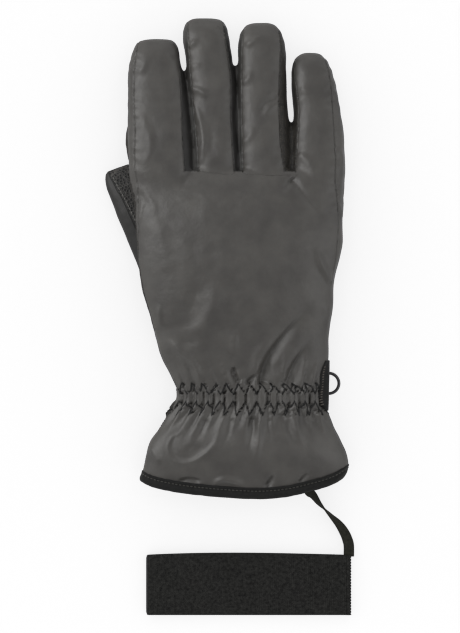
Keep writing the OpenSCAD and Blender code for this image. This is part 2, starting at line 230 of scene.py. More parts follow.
def closed_tube(name, line, radius, sides):
    """A round tube along a closed line of points in millimetres."""
    line = np.asarray(line, float)
    t = np.linspace(0, 2 * math.pi, sides, endpoint=False)
    rings = []
    side = None
    for i, point in enumerate(line):
        d = line[(i + 1) % len(line)] - line[i - 1]
        d /= np.linalg.norm(d)
        if side is None:
            side = np.cross(d, [0, 0, 1.0] if abs(d[2]) < 0.9 else [1.0, 0, 0])
        side = side - d * np.dot(side, d)
        side /= np.linalg.norm(side)
        rings.append(point + radius * (np.outer(np.cos(t), side) + np.outer(np.sin(t), np.cross(side, d))))
    return tube(name, rings, loop=True)


def finger_form(name):
    f = FINGERS[name]
    ys = list(np.linspace(f["rows"][0][0], f["tip"] - f["round"], 56))
    ys += list(f["tip"] - f["round"] * (1 - np.sin(np.linspace(0, math.pi / 2, 15)[1:-1])))
    rings = []
    for y in ys + [f["tip"] - 0.02]:
        x, w, z, h = finger_at(name, y)
        px, pz = ring_points(x, max(w, 0.3), z, max(h, 0.3), 64, FINGER_ROUND)
        rings.append(as_points(px, y, pz))
    return tube("form_" + name, rings)


def hand_form():
    rings = []
    for y in np.linspace(50, -144, 130):
        x, w, bottom, top = hand_at(y)
        px, pz = ring_points(x, w, 0, 1, 160, HAND_ROUND)
        floor = raised(bottom, px, y)
        middle = np.maximum((bottom + top) / 2, floor + 5)
        rings.append(as_points(px, y, middle + pz * np.where(pz > 0, top - middle, middle - floor)))
    return tube("form_hand", rings)


def joined(objs, name):
    bm = bmesh.new()
    for o in objs:
        bm.from_mesh(o.data)
        bpy.data.objects.remove(o)
    mesh = bpy.data.meshes.new(name)
    bm.to_mesh(mesh)
    bm.free()
    return add_object(name, mesh)


class Skin:
    """A triangle mesh in millimetres, taken over from an object, that can be pushed out, cut and sewn."""

    def __init__(self, obj):
        mesh = obj.evaluated_get(bpy.context.evaluated_depsgraph_get()).to_mesh()
        mesh.calc_loop_triangles()
        self.at = np.array([v.co for v in mesh.vertices], float) / MM
        self.tris = np.array([t.vertices for t in mesh.loop_triangles], int)
        bpy.data.objects.remove(obj)

    def normals(self):
        a, b, c = (self.at[self.tris[:, k]] for k in range(3))
        flat = np.cross(b - a, c - a)
        out = np.zeros_like(self.at)
        for k in range(3):
            np.add.at(out, self.tris[:, k], flat)
        return out / np.maximum(np.linalg.norm(out, axis=1), 1e-12)[:, None]

    def middles(self):
        return self.at[self.tris].mean(axis=1)

    def tree(self):
        return BVHTree.FromPolygons([Vector(p) for p in self.at], self.tris.tolist())

    def relax(self, weight, rounds):
        """Evens the surface out, the more the higher the weight of a point is."""
        pairs = np.concatenate([self.tris[:, [0, 1]], self.tris[:, [1, 2]], self.tris[:, [2, 0]]])
        pairs = np.unique(np.sort(pairs, axis=1), axis=0)
        pairs = pairs[(weight[pairs] > 0).any(axis=1)]
        count = np.maximum(np.bincount(pairs.ravel(), minlength=len(self.at)), 1)[:, None]
        for _ in range(rounds):
            total = np.zeros_like(self.at)
            np.add.at(total, pairs[:, 0], self.at[pairs[:, 1]])
            np.add.at(total, pairs[:, 1], self.at[pairs[:, 0]])
            self.at += weight[:, None] * (total / count - self.at)

    def push(self, amount):
        self.at = self.at + self.normals() * np.asarray(amount)[:, None]

    def cut(self, field, within):
        """Splits the triangles along the curve where field is 0. Triangles outside within are left whole."""
        s = np.where(np.abs(field) < 1e-4, 1e-4, field)
        above = s > 0
        mixed = (above[self.tris].sum(1) % 3 != 0) & within
        todo = self.tris[mixed]
        if not len(todo):
            return
        flags = above[todo]
        lone_above = flags.sum(1) == 1
        lone = np.argmax(np.where(lone_above[:, None], flags, ~flags), axis=1)
        a, b, c = (todo[np.arange(len(todo)), (lone + k) % 3] for k in range(3))
        pairs = np.sort(np.concatenate([np.stack([a, b], 1), np.stack([a, c], 1)]), axis=1)
        unique, inverse = np.unique(pairs, axis=0, return_inverse=True)
        inverse = inverse.ravel()
        t = s[unique[:, 0]] / (s[unique[:, 0]] - s[unique[:, 1]])
        fresh = self.at[unique[:, 0]] * (1 - t)[:, None] + self.at[unique[:, 1]] * t[:, None]
        p, q = len(self.at) + inverse[: len(todo)], len(self.at) + inverse[len(todo):]
        self.at = np.concatenate([self.at, fresh])
        parts = [self.tris[~mixed], np.stack([a, p, q], 1), np.stack([p, b, c], 1), np.stack([p, c, q], 1)]
        self.tris = np.concatenate(parts)

    def sew(self, field_of, within_of, depth=SEAM_DEPTH, flank=GROOVE):
        """A narrow groove where the field of x, y, z is 0, and a cut between the panels there."""
        for side in (-flank, 0.0, flank):
            self.cut(field_of(*self.at.T) - side, within_of(*self.middles().T))
        deep = (np.abs(field_of(*self.at.T)) < 0.02) & within_of(*self.at.T)
        self.push(np.where(deep, -depth, 0.0))

    def piece(self, name, chosen, normals):
        """An object from the chosen triangles, shaded as part of the whole skin."""
        used, back = np.unique(self.tris[chosen], return_inverse=True)
        mesh = bpy.data.meshes.new(name)
        mesh.from_pydata((self.at[used] * MM).tolist(), [], back.reshape(-1, 3).tolist())
        shade_smooth(mesh)
        mesh.normals_split_custom_set_from_vertices(normals[used].tolist())
        return add_object(name, mesh)


glove = joined([hand_form()] + [finger_form(n) for n in FINGERS], "glove")
remesh = glove.modifiers.new("remesh", "REMESH")
remesh.mode = "VOXEL"
remesh.voxel_size = VOXEL * MM
smoothing = glove.modifiers.new("relax", "SMOOTH")
smoothing.factor = 0.5
smoothing.iterations = 7
skin = Skin(glove)
_, y, z = skin.at.T
knuckles = step(y, 14, 28) * (1 - step(y, 42, 50)) * step(z, 15, 20)
skin.relax(knuckles * 0.6, 50)
print("glove base", len(skin.at), len(skin.tris))

# ---------------------------------------------------------------- folds


def near(points, at):
    """Distance from a line of (x, y) points, how far along it (0 to 1) and on which side (+1 is its left)."""
    lengths = np.linalg.norm(np.diff(points, axis=0), axis=1)
    best, along, side = np.full(len(at), 1e9), np.zeros(len(at)), np.ones(len(at))
    done = 0.0
    for a, b, length in zip(points[:-1], points[1:], lengths):
        d = (b - a) / length
        rel = at[:, :2] - a
        t = np.clip(rel @ d, 0, length)
        dist = np.linalg.norm(rel - np.outer(t, d), axis=1)
        closer = dist < best
        best = np.where(closer, dist, best)
        along = np.where(closer, (done + t) / lengths.sum(), along)
        side = np.where(closer, np.sign(d[0] * rel[:, 1] - d[1] * rel[:, 0]), side)
        done += length
    return best, along, side


def lengths_along(points):
    """How far each point of a line is from its start."""
    return np.concatenate([[0], np.cumsum(np.linalg.norm(np.diff(points, axis=0), axis=1))])


def smoothed(points, count=24):
    """A line of given points, rounded off into a smooth curve."""
    points = np.array(points, float)
    t = lengths_along(points)
    return np.stack(through([(a, *p) for a, p in zip(t, points)], np.linspace(0, t[-1], count)), 1)


# Folds on the back: points, height (a valley is negative), half width, how much steeper the left side is,
# and how far the fold rises and falls off along its length, as shares
FOLDS = [
    # the hand, from the elastic upwards
    ([(19, -74), (21, -64), (25, -56), (33, -45.5), (45, -32), (54, -22)], -4.4, 3.3, 0.5, 0.02, 0.75),
    ([(23.5, -74), (26, -64), (30, -56), (38, -46), (49, -34)], 0.4, 4, 0, 0.05, 0.7),
    ([(14, -71), (17, -62), (22, -52), (31, -41)], 0.9, 3.4, 0, 0.1, 0.6),
    ([(34, -73.5), (38, -64), (44.5, -53.5), (51, -45)], -3, 2.5, 0.5, 0.02, 0.7),
    ([(30, -72), (34, -62), (40, -52)], 0.9, 2.4, 0, 0.1, 0.6),
    ([(3.5, -63), (4.6, -68.5), (7, -73)], -3.4, 1.7, 0, 0.3, 0.1),
    ([(12, -73.5), (15, -70), (19.5, -66)], -3, 1.6, 0, 0.05, 0.6),
    ([(4.5, -42), (4.8, -50), (3.5, -58)], 1, 2.8, 0.5, 0.4, 0.4),
    ([(0.5, -44), (0.8, -53), (0, -60)], -0.7, 4, 0, 0.4, 0.4),
    ([(-36, -47), (-30, -52), (-21.5, -59), (-12.5, -71)], 1.2, 1.9, 0.3, 0.3, 0.3),
    ([(-38, -50), (-32, -56), (-25, -62), (-17, -70)], -1.1, 3.2, 0, 0.3, 0.3),
    ([(-39.5, -26), (-38.8, -34), (-37.5, -43)], 1, 2, 0.4, 0.4, 0.4),
    ([(-6.5, -8), (-7, -20), (-9, -32), (-17.5, -42), (-30, -47.5)], 1.6, 5.4, 0, 0.4, 0.35),
    ([(-18, -14), (-19, -26), (-24, -36)], -1.1, 5.5, 0, 0.4, 0.4),
    ([(-30, -47), (-22, -49), (-14, -47)], -0.9, 3, 0, 0.4, 0.4),
    ([(-50.5, 41), (-45, 34), (-41.8, 29), (-42.5, 22)], 0.5, 1.6, 0.2, 0.4, 0.4),
    ([(-44, 34), (-39, 10), (-35.5, -10)], 0.8, 5.5, 0.2, 0.5, 0.5),
    ([(-16, 44), (-12, 26), (-12, 4)], 0.3, 6, 0, 0.5, 0.5),
    ([(50.5, 7), (53.5, -3), (57.5, -11), (61.5, -19)], 1.9, 2.1, -0.4, 0.45, 0.3),
    ([(54.5, 7), (57.5, -3), (61, -10)], -0.6, 2.8, 0, 0.4, 0.3),
    ([(57, -24), (58, -33), (57.5, -42)], 0.8, 2.2, 0, 0.4, 0.4),
    ([(37.5, 46), (43, 38), (49.5, 30), (58, 19)], -1.8, 2, 0, 0.02, 0.6),
    ([(37.5, 46), (34.5, 41), (31.5, 35)], -1.5, 1.8, 0, 0.02, 0.6),
    ([(-20.5, 50), (-24, 44), (-25, 38)], -1, 1.8, 0, 0.02, 0.6),
    ([(62.5, 33), (66, 27), (67.5, 20)], 1, 2, 0.3, 0.3, 0.3),
    ([(-48, 34), (-49.5, 26), (-51, 18)], 0.8, 1.8, 0.3, 0.3, 0.3),
    # the cuff
    ([(-25, -100), (-31.5, -104), (-34.2, -111), (-31, -117.5), (-24, -119), (-16, -116), (-8, -109),
      (-3, -99)], 0.95, 1.9, 0.3, 0.12, 0.3),
    ([(-24, -108), (-20, -112), (-12, -108)], -0.8, 4.5, 0, 0.3, 0.3),
    ([(-44.5, -109), (-42, -115), (-38.5, -121)], 1, 2, -0.3, 0.3, 0.3),
    ([(14.5, -93), (15, -99), (13.5, -106), (11.5, -113)], -1.7, 1.9, 0, 0.02, 0.55),
    ([(19, -95), (19, -104), (18, -112), (15.5, -121)], 1, 1.9, 0.4, 0.05, 0.5),
    ([(23.5, -94), (24.5, -102), (24, -110)], -0.8, 2.2, 0, 0.05, 0.6),
    ([(31.5, -91), (34.5, -98.5), (40, -108)], -1.5, 1.8, 0, 0.02, 0.6),
    ([(36, -92), (40, -100), (45.5, -110)], 1.2, 2.6, 0, 0.05, 0.6),
    ([(3, -94), (1, -101), (-3, -110)], -1, 1.9, 0, 0.02, 0.6),
    ([(-12, -94), (-15, -101), (-20, -107)], -1.1, 2.2, 0, 0.02, 0.6),
    ([(46, -91), (51, -98), (57, -106)], -0.8, 2.2, 0, 0.02, 0.6),
    ([(-30, -130.5), (-22, -129), (-13, -130)], -1.8, 1.5, 0, 0.3, 0.3),
    ([(-9, -132.5), (-4, -129), (4, -129.5), (11, -132)], 1.5, 1.5, 0, 0.3, 0.3),
    ([(23, -133.5), (25, -130), (27.5, -125)], -2, 1.4, 0, 0.1, 0.4),
    ([(42, -131), (45, -127.5), (49, -124)], -1.5, 1.3, 0, 0.1, 0.4),
    # the index finger
    ([(-53, 88), (-47.5, 77), (-44, 69.5), (-44, 61), (-50, 50)], 0.35, 1.7, 0.3, 0.35, 0.35),
    ([(-47.5, 86), (-42, 74), (-39, 64)], -0.3, 3.5, 0, 0.3, 0.3),
    ([(-52, 104), (-48, 110), (-46, 117)], 0.7, 2, 0, 0.3, 0.4),
    ([(-29, 114), (-32, 118), (-36, 121)], -0.5, 1.8, 0, 0.2, 0.4),
    # the middle finger
    ([(-21.5, 121), (-19.5, 124.5), (-16.5, 125.5)], 0.9, 1.5, 0.3, 0.2, 0.3),
    ([(-21, 98), (-17, 97), (-13, 95), (-10.5, 92.5)], 1.1, 1.6, 0.3, 0.1, 0.3),
    ([(-20.5, 93), (-15, 79), (-13, 67), (-15, 52)], 1.1, 1.6, 0.3, 0.3, 0.3),
    ([(-10.5, 80), (-9, 68), (-10, 56)], -0.6, 2.6, 0, 0.3, 0.3),
    ([(-6, 134), (-3, 131), (-1.5, 127)], -0.8, 1.5, 0, 0.2, 0.2),
    ([(-20.5, 110), (-17.5, 111), (-14.5, 110.5)], 0.5, 1.5, 0, 0.1, 0.5),
    # the ring finger
    ([(10.5, 122.5), (14.5, 124.5), (19.5, 128)], 0.8, 1.6, 0, 0.2, 0.3),
    ([(18.5, 83), (22, 88.5), (29.5, 92.8)], -1.2, 1.6, 0, 0.3, 0.05),
    ([(21, 81), (25, 86), (30, 89.5)], 0.6, 1.8, 0, 0.3, 0.05),
    ([(10, 100), (13, 104), (14, 109)], 0.6, 1.8, 0, 0.1, 0.5),
    ([(10, 66), (14, 71), (15, 77)], 0.7, 2, 0, 0.1, 0.5),
    ([(27, 54), (29.5, 62), (29, 72)], -0.4, 2.4, 0, 0.3, 0.3),
    # the little finger
    ([(43, 98), (46, 96), (50, 96)], 0.5, 1.8, 0, 0.1, 0.5),
    ([(41, 60), (45, 57), (50, 50), (51.5, 44)], 0.8, 2.2, 0, 0.1, 0.4),
    ([(60, 100), (64.5, 90), (66.5, 78)], 0.8, 1.4, 0, 0.3, 0.3),
    ([(64, 66), (66.5, 58), (66, 48)], 0.7, 1.6, 0, 0.3, 0.3),
]


def folds_at(at):
    total = np.zeros(len(at))
    for points, height, half, steep, rise, fall in FOLDS:
        line = smoothed(points)
        low, high = line.min(0) - 4 * half, line.max(0) + 4 * half
        box = np.all((at[:, :2] > low) & (at[:, :2] < high), axis=1)
        d, t, side = near(line, at[box])
        width = half * (1 - steep * side)
        ends = step(t, 0, rise) * (1 - step(t, 1 - fall, 1))
        total[box] += height * np.exp(-((d / width) ** (2 if height > 0 else 1.35))) * ends
    return total


def soft_noise(at, size, seed):
    """Smooth waves in every direction, from -1 to 1, about as far apart as size."""
    rng = np.random.default_rng(seed)
    out = np.zeros(len(at))
    for _ in range(10):
        direction = rng.normal(size=3)
        direction /= np.linalg.norm(direction)
        out += np.sin(at @ direction * (2 * math.pi / size * rng.uniform(0.7, 1.4)) + rng.uniform(0, 6.28))
    return out / 5


# ---------------------------------------------------------------- the gathered wrist

WRIST_Y = -83.5
PLEATS = 30
PUFF, PUFF_FLANK = 2.1, 2.4
THREAD_R = 0.5
# The two zigzag rows: the y of their valleys and their peaks
UPPER_ROW = (-79.4, -73.2)
LOWER_ROW = (-91.6, -83.5)
_, wrist_w, _, wrist_h = hand_section(WRIST_Y)
lap_x, lap_z = ring_points(0, wrist_w, 0, wrist_h, 720, HAND_ROUND)
lap_angle = np.arctan2(lap_z / wrist_h, lap_x / wrist_w)
order = np.argsort(lap_angle)
lap_x, lap_z, lap_angle = lap_x[order], lap_z[order], lap_angle[order]
lap_length = lengths_along(np.stack([lap_x, lap_z], 1))
LAP = lap_length[-1] + math.hypot(lap_x[0] - lap_x[-1], lap_z[0] - lap_z[-1])


def pleat_of(x, y, z):
    """How many pleats round the wrist a point is, from its direction out of the middle of its section."""
    middle, w, bottom, top = hand_at(y)
    floor = raised(bottom, x, y)
    angle = np.arctan2((z - (floor + top) / 2) / ((top - floor) / 2), (x - middle) / w)
    return np.interp(angle, lap_angle, lap_length) / LAP * PLEATS


def zigzag(p, row):
    """The y of a zigzag row at pleat p: its peaks are halfway between whole pleats."""
    wave = np.abs(2 * (p - np.floor(p)) - 1)
    return row[0] + (1 - wave) * (row[1] - row[0])


def gathers_at(x, y, z):
    p = pleat_of(x, y, z)
    upper, lower = zigzag(p, UPPER_ROW), zigzag(p + 0.5, LOWER_ROW)
    # the puffs between the two rows: high in the middle, down to nothing at their six sides
    middle = np.abs(p - np.floor(p) - 0.5) * 2
    room = np.minimum(np.minimum(upper - y, y - lower) / PUFF_FLANK, (1 - middle) * 2)
    total = np.where(room > 0, PUFF * (1 - (1 - np.clip(room, 0, 1)) ** 2), 0)
    # pleats that run out into the hand and the cuff, each as long and deep as it happens to be
    rng = np.random.default_rng(11)
    reach = rng.uniform(5, 15, PLEATS + 2)
    deep = rng.uniform(1.1, 2.4, PLEATS + 2)
    drift = rng.uniform(-0.04, 0.04, PLEATS + 2)
    for out, turned, first in ((y - upper, 0.5, 0), (lower - y, 0.0, 1)):
        whole = np.floor(p + turned)
        k = whole.astype(int) % PLEATS + first
        out = np.maximum(out, 0)
        across = np.clip(p + turned + drift[k] * out - whole, 0, 1)
        fade = np.exp(-((out / reach[k]) ** 2)) * step(out, -0.1, 0.8)
        total = total + deep[k] * (1 - np.abs(2 * across - 1) ** 2) * fade * (out > 0)
    return total


x, y, z = skin.at.T
slope = skin.normals()[:, 2]
calm = 1 - step(-slope, 0.1, 0.6) * 0.85
push = folds_at(skin.at) * step(slope, 0.05, 0.5) + gathers_at(x, y, z)
push += soft_noise(skin.at, 26, 3) * 0.35 * calm * (1 - step(y, -95, -100) * 0.3)
push += soft_noise(skin.at, 11, 5) * 0.12 * calm
# little puckers along the finger seams, which the tight thread draws in, and more along the two outer ones
PUCKER, OUTER_PUCKER, PUCKER_REACH = 0.12, 0.26, 3.2
wave = np.sin(y * 0.95 + soft_noise(skin.at, 22, 8) * 4.0 + x * 0.12)
for name, f in FINGERS.items():
    middle, w, height, _ = finger_at(name, y)
    inside = (np.abs(x - middle) < w + 1.2) & (y > ROOT_Y - 18) & (z > height)
    for side in ("left", "right"):
        d = np.abs(x - through(f[side], y)[0])
        strength = OUTER_PUCKER if (name, side) in OUTER_SEAM_START else PUCKER
        push += np.where(inside, strength * wave * np.exp(-((d / PUCKER_REACH) ** 2)), 0)
# the palm's edge shows past the back beside the index finger, and below the elastic
palm_edge = np.clip(-np.abs(y - 66) / 16 + 1, 0, 1) * (x < -50) * step(-z, -17, -11)
skin.push(push)
skin.at[:, 0] -= 1.9 * step(palm_edge, 0, 0.5)
x, y, z = skin.at.T
skin.at[:, 0] -= 3.0 * step(-np.abs(y + 88), -6.5, -2) * (x < -20) * step(-z, -14, -9)

# ---------------------------------------------------------------- seams

# The seam across the knuckles: x, y
KNUCKLE = [(-19, 51), (-12, 49), (-2, 48), (3.5, 47.6), (5.5, 50.2), (7.5, 51), (10, 48.6), (20, 47.4),
           (30, 47), (38, 47.2)]
knuckle_line = smoothed(KNUCKLE, 60)
# The outer side of the index and the little finger, where the back panel meets the palm's edge
OUTSIDE = {"index": -1, "little": 1}
UNDER_SHARE = 0.8
TIP_PANEL = 5


def knuckle_y(x):
    return np.interp(x, knuckle_line[:, 0], knuckle_line[:, 1])


def seam_z(x, y):
    """The height of the hand's side seam, between the back and the palm."""
    _, _, bottom, top = hand_at(y)
    floor = raised(bottom, x, y)
    share = 0.42 + 0.13 * step(x, 40, 55) * step(-y, 97, 105)
    return floor + share * (top - floor)


def side_z(name, x, y):
    """The height of the palm's edge outside the index and little fingers: it carries on the hand's."""
    low = finger_at(name, y)[2] - 2.0
    share = 1 - step(y, ROOT_Y, ROOT_Y + 13)
    return low + share * (seam_z(x, y) - low)


def sew_back_seam(name, side):
    """The seam along one side of a finger's back panel."""
    f = FINGERS[name]
    first = OUTER_SEAM_START.get((name, side), ROOT_Y - 0.5)

    def field(x, y, z):
        return x - through(f[side], y)[0]

    def within(x, y, z):
        over = z > finger_at(name, y)[2] - 1
        return (np.abs(field(x, y, z)) < 3) & over & (y > first) & (y < f["tip"] - 1.5)

    skin.sew(field, within)


def sew_palm_seam(name, sign):
    """The seam along one side of a finger's palm panel, where its side strip ends."""

    def off_middle(x, y):
        return (x - finger_at(name, y)[0]) * sign

    if OUTSIDE.get(name) == sign:
        skin.sew(lambda x, y, z: z - side_z(name, x, y),
                 lambda x, y, z: (off_middle(x, y) > 5) & (y > ROOT_Y) & (y < FINGERS[name]["tip"] - 4), 0.5)
        return

    def field(x, y, z):
        return off_middle(x, y) - UNDER_SHARE * np.maximum(finger_at(name, y)[1], 6)

    def within(x, y, z):
        middle, w, height, _ = finger_at(name, y)
        return (np.abs(x - middle) < w + 2) & (z < height - 2) & (y > ROOT_Y)

    skin.sew(field, within, 0.4)


def cut_tip(name):
    """The strips stop before the round tip, where the back and the palm meet."""
    tip = FINGERS[name]["tip"]
    for field_of, first in ((lambda x, y, z: z - finger_at(name, y)[2], tip - 9),
                            (lambda x, y, z: y - (tip - TIP_PANEL), ROOT_Y)):
        x, y, z = skin.middles().T
        middle, w, height, _ = finger_at(name, y)
        skin.cut(field_of(*skin.at.T), (y > first) & (np.abs(x - middle) < w + 2) & (z > height - 2))


def past_hem(x, y):
    """How far a point is inside the shell's end."""
    return y - through(HEM, x)[0] - SHELL_SHORT


for name in FINGERS:
    for side in ("left", "right"):
        sew_back_seam(name, side)
skin.sew(lambda x, y, z: y - knuckle_y(x),
         lambda x, y, z: (x > -17.5) & (x < 36) & (z > 18) & (np.abs(y - knuckle_y(x)) < 3), 0.4, 0.6)
skin.sew(lambda x, y, z: z - seam_z(x, y), lambda x, y, z: y < ROOT_Y, 0.5)
for turned, zigzag_row in ((0, UPPER_ROW), (0.5, LOWER_ROW)):
    skin.sew(lambda x, y, z: y - zigzag(pleat_of(x, y, z) + turned, zigzag_row),
             lambda x, y, z: (y < -70) & (y > -97), 0.8, 0.8)
skin.sew(lambda x, y, z: (pleat_of(x, y, z) - np.round(pleat_of(x, y, z))) * LAP / PLEATS,
         lambda x, y, z: (y < UPPER_ROW[0] + 0.3) & (y > LOWER_ROW[1] - 0.3), 0.5, 0.6)
for name in FINGERS:
    for sign in (-1, 1):
        sew_palm_seam(name, sign)
for name in FINGERS:
    cut_tip(name)
skin.cut(skin.at[:, 1] - ROOT_Y, True)
skin.cut(past_hem(*skin.at[:, :2].T), skin.middles()[:, 1] < -90)

# ---------------------------------------------------------------- the panels

shading = skin.normals()
x, y, z = skin.middles().T
kept = past_hem(x, y) > 0
on_finger = y > ROOT_Y
pieces = {}


def make_piece(name, chosen):
    pieces[name] = skin.piece(name, chosen & kept, shading)


hand_back = z > seam_z(x, y)
make_piece("glove_back", ~on_finger & hand_back)
make_piece("glove_palm", ~on_finger & ~hand_back)
places = {name: finger_at(name, y) for name in FINGERS}
owner = np.argmin([np.abs(x - middle) / np.maximum(w, 3) for middle, w, _, _ in places.values()], axis=0)
for number, (name, f) in enumerate(FINGERS.items()):
    mine = on_finger & (owner == number)
    middle, w, height, _ = places[name]
    left, right = (through(f[side], y)[0] for side in ("left", "right"))
    upper = z > height
    between = (x > left) & (x < right)
    under = ~upper & (np.abs(x - middle) < UNDER_SHARE * np.maximum(w, 6)) & (z < height - 2)
    if name in OUTSIDE:
        outside = (x - middle) * OUTSIDE[name] > 5
        under = np.where(outside, z < side_z(name, x, y), under)
        between &= ~(outside & under)
    at_tip = y > f["tip"] - TIP_PANEL
    top_panel = mine & upper & (between | at_tip)
    palm_panel = mine & ~top_panel & (under | (at_tip & ~upper))
    strips = mine & ~top_panel & ~palm_panel
    make_piece(name + "_back", top_panel)
    make_piece(name + "_palm", palm_panel)
    make_piece(name + "_outer_strip", strips & (x < middle))
    make_piece(name + "_inner_strip", strips & (x >= middle))

skin_tree = skin.tree()


def met(tree, start, toward):
    """The point of a surface met from a start in a direction, and the surface's normal there."""
    hit, normal, _, _ = tree.ray_cast(Vector(start), Vector(toward).normalized())
    return (None, None) if hit is None else (np.array(hit), np.array(normal))


def height_met(x, y, z, toward, otherwise):
    """The height of the glove's surface met from (x, y, z)."""
    hit, _ = met(skin_tree, (x, y, z), toward)
    return otherwise if hit is None else hit[2]


def round_wrist(p, y):
    """The glove's surface and its normal at pleat p round the wrist and the y given."""
    angle = np.interp((p % PLEATS) / PLEATS * LAP, lap_length, lap_angle)
    x, w, z, h = hand_section(y)
    direction = np.array([math.cos(angle) * w, 0, math.sin(angle) * h])
    return met(skin_tree, np.array([x, y, z]) + direction * 2, -direction)


# ---------------------------------------------------------------- the thumb

# Along the thumb: y, left x, right x, bottom z, top z
THUMB = [
    (0, -14.4, 14.4, 0.9, 13.4), (20, -15.8, 14.2, 0.6, 13.8), (45, -17.3, 14, 0.5, 13.8),
    (58, -18.2, 13, 0.5, 13.4), (68, -18.6, 11, 0.6, 12.2), (75, -18.2, 7.4, 0.8, 10.6),
    (79, -17.4, 3.4, 1.3, 9.2), (81.4, -16.2, 0, 2.2, 8), (82.4, -14.8, -2.6, 3.8, 6.4),
]
THUMB_SEAM = [(-16, -7.4), (20, -8), (50, -9.8), (66, -12), (78.5, -14.2), (83, -14.8)]
THUMB_R = 14.4
THUMB_SEAM_Z = 7.0


def thumb_world(points):
    c, s = math.cos(THUMB_LEAN), math.sin(THUMB_LEAN)
    right, ahead, z = np.asarray(points, float).T
    return np.stack([THUMB_ROOT[0] + right * c - ahead * s, THUMB_ROOT[1] + right * s + ahead * c, z], 1)


def off_thumb_seam(x, y):
    """How far a place is to the right of the thumb's upper seam."""
    right, ahead = thumb_local(x, y)
    return right - through(THUMB_SEAM, ahead)[0]


def thumb_form():
    rings = []
    root = -THUMB_R * np.cos(np.linspace(0.06, math.pi / 2, 12))
    for y in [*root, *np.linspace(1.5, 82.3, 64)]:
        left, right, bottom, top = through(THUMB, max(y, 0))
        share = math.sqrt(max(1 - (min(y, 0) / THUMB_R) ** 2, 0.0004))
        x, w = (left + right) / 2 * share, (right - left) / 2 * share
        z, h = (bottom + top) / 2, (top - bottom) / 2 * (0.55 + 0.45 * share)
        px, pz = ring_points(x, w, z, h, 56, 3.0)
        rings.append(thumb_world(as_points(px, y, pz)))
    return tube("thumb", rings)


thumb_skin = Skin(thumb_form())
thumb_skin.push(soft_noise(thumb_skin.at, 17, 21) * 0.22 + soft_noise(thumb_skin.at, 6, 23) * 0.05)
thumb_skin.sew(lambda x, y, z: off_thumb_seam(x, y),
               lambda x, y, z: (z > THUMB_SEAM_Z) & (thumb_local(x, y)[1] > -13), 0.45)
thumb_skin.cut(thumb_skin.at[:, 2] - THUMB_SEAM_Z, True)
x, y, z = thumb_skin.middles().T
grip = (z > THUMB_SEAM_Z) & (off_thumb_seam(x, y) > 0)
for name, chosen in (("thumb_grip", grip), ("thumb_back", ~grip)):
    pieces[name] = thumb_skin.piece(name, chosen, thumb_skin.normals())

# ---------------------------------------------------------------- stitches


def stitches(name, spots, length, radius):
    """Small rounded stitches: each spot is a point, its direction and the surface's normal."""
    verts, faces = [], []
    for point, along, normal in spots:
        along = along / np.linalg.norm(along)
        normal = normal - along * np.dot(normal, along)
        normal /= np.linalg.norm(normal)
        side = np.cross(normal, along)
        faces += ring_faces(4, 6, len(verts))
        for u, share, sink in ((-0.5, 0.35, 0.35), (-0.3, 1.0, 0), (0.3, 1.0, 0), (0.5, 0.35, 0.35)):
            for a in np.arange(6) * math.pi / 3:
                verts.append(point + along * u * length - normal * sink * radius
                             + share * radius * (math.cos(a) * side + math.sin(a) * normal))
    pieces[name] = new_object(name, verts, faces)


def evenly(line, gap):
    """Points a fixed distance apart along a line, each with its direction."""
    line = np.asarray(line, float)
    t = lengths_along(line)
    at = np.arange(gap / 2, t[-1], gap)
    points, ahead = (np.stack([np.interp(s, t, column) for column in line.T], 1) for s in (at, at + 0.2))
    return list(zip(points, ahead - points + 1e-9))


spots = []
thumb_tree = thumb_skin.tree()
seam_ys = np.linspace(14, 78.5, 80)
seam_line = np.stack([through(THUMB_SEAM, seam_ys)[0] + 1.1, seam_ys, np.full_like(seam_ys, 20)], 1)
for point, along in evenly(thumb_world(seam_line), 2.3):
    hit, normal = met(thumb_tree, point, (0, 0, -1))
    if hit is not None:
        spots.append((hit + [0, 0, 0.12], along, normal))
stitches("thumb_stitches", spots, 1.7, 0.31)

for name, zigzag_row, turned in (("upper_thread", UPPER_ROW, 0.0), ("lower_thread", LOWER_ROW, 0.5)):
    line = []
    for p in np.arange(0, PLEATS, 0.125):
        hit, normal = round_wrist(p, zigzag(p + turned, zigzag_row))
        if hit is not None:
            line.append(hit + normal * 0.05)
    pieces[name] = closed_tube(name, line, THREAD_R, 6)

# ---------------------------------------------------------------- the hem

HEM_MIDDLE_Y = -131


def add_tube(name, rings, **kind):
    pieces[name] = tube(name, rings, **kind)


def hem_ring(short, inward, count=220):
    """A line round the cuff, short of the hem's edge seen from above and inward from its outer surface."""
    aside = inward if inward > 0 else 0.35 * inward
    px, _ = ring_points(*hand_section(HEM_MIDDLE_Y), count, HAND_ROUND)
    for _ in range(2):
        x, w, z, h = hand_section(through(HEM, px)[0] + short)
        px, pz = ring_points(x, w - aside, z, h - inward, count, HAND_ROUND)
    return as_points(px, through(HEM, px)[0] + short, pz)


# The binding's section: a piped edge on the shell, a row of stitches beside it, round the edge and back in
HEM_PROFILE = [(6.7, 0.3), (6.6, -0.7), (6.15, -1.25), (5.6, -1.3), (5.1, -0.8), (4.85, -0.45), (4.3, -0.5),
               (3.6, -1), (2.6, -1.45), (1.5, -1.45), (0.6, -0.95), (0.05, 0.1), (-0.1, 1.4), (0.2, 2.8),
               (1.1, 3.9), (2.8, 4.5), (5.5, 4.7), (7, 4.6)]
lap = np.linspace(0, 2 * math.pi, 220, endpoint=False)
wobble = 0.05 * np.sin(lap * 31) + 0.04 * np.sin(lap * 47 + 1)
add_tube("cuff_binding", [hem_ring(short, inward) + as_points(0 * lap, wobble, wobble * (short > 1))
                          for short, inward in HEM_PROFILE], ends=False)
lining_rings = [hem_ring(s, 4.5 + 0.5 * math.sin(i * 1.3)) for i, s in enumerate(np.linspace(3.5, 70, 26))]
